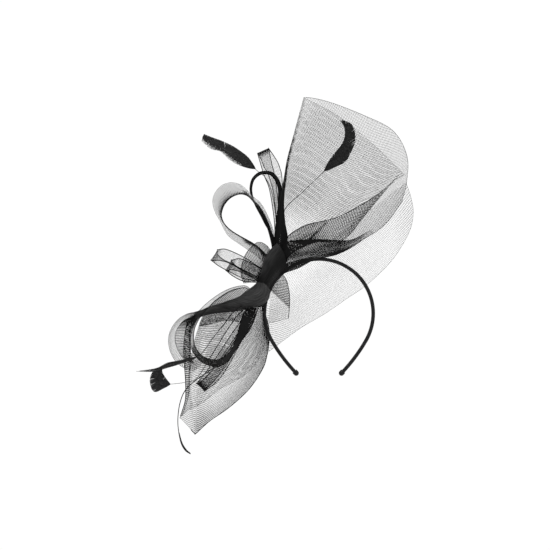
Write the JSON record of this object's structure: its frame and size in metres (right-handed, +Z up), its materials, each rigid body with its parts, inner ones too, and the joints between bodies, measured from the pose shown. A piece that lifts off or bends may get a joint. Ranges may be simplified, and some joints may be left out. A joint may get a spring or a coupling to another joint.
{
  "type": "fascinator headpiece",
  "caption": "Narrow satin-covered head band with a crinoline cornet, veil, tail, ribbon loops and feathers bound to one side.",
  "frame": {"origin": "centre of the band's round part, midway across its width", "axes": "+Z up to the crown of the head, +X across the head away from the trim, -Y out of the front of the piece"},
  "size_m": [0.3325, 0.087, 0.4262],
  "materials": {
    "strip": "satin",
    "satin": "satin",
    "felt": "matte",
    "stems": "matte",
    "thread": "matte",
    "gathered_crin": "satin",
    "crinoline": "satin",
    "crin_ribbon": "satin",
    "quill": "satin",
    "feather": "matte"
  },
  "bodies": {
    "headpiece": {"band_strip": "strip", "band_cover": "satin", "felt_pad": "felt", "stem_bundle": "stems", "binding_thread": "thread", "knot_wrap": "gathered_crin", "arm_wrap": "gathered_crin", "upper_fan": "crinoline", "leaf_fold": "crinoline", "lower_fold": "crinoline", "veil": "crinoline", "inner_flap": "crinoline", "side_leaf": "crinoline", "left_lobe": "crinoline", "lower_ring": "crinoline", "ring_hood": "crinoline", "tail_cornet": "crinoline", "tail_strip": "crinoline", "big_loop": "crin_ribbon", "thin_loop": "crin_ribbon", "top_loop": "crin_ribbon", "side_loop_outer": "crin_ribbon", "side_loop_inner": "crin_ribbon", "lower_loop": "crin_ribbon", "fan_quill": "quill", "left_quill": "quill", "curled_quill": "quill", "slender_quill": "quill", "bare_quill": "quill", "fan_feather": "feather", "left_feather": "feather", "curled_feather": "feather", "slender_feather": "feather", "bare_quill_tip": "feather"},
    "left_leg": {"left_leg_strip": "strip", "left_leg_cover": "satin", "left_tip": "satin"},
    "right_leg": {"right_leg_strip": "strip", "right_leg_cover": "satin", "right_tip": "satin"}
  },
  "joints": [
    {"name": "left_leg_flex", "type": "hinge", "parent": "headpiece", "child": "left_leg", "pos_m": [-0.0652, 0, -0.01747], "axis": [0, 1, 0], "range_deg": [0, 12], "stiffness_Nm_per_rad": 0.25},
    {"name": "right_leg_flex", "type": "hinge", "parent": "headpiece", "child": "right_leg", "pos_m": [0.0652, 0, -0.01747], "axis": [0, -1, 0], "range_deg": [0, 12], "stiffness_Nm_per_rad": 0.25}
  ]
}
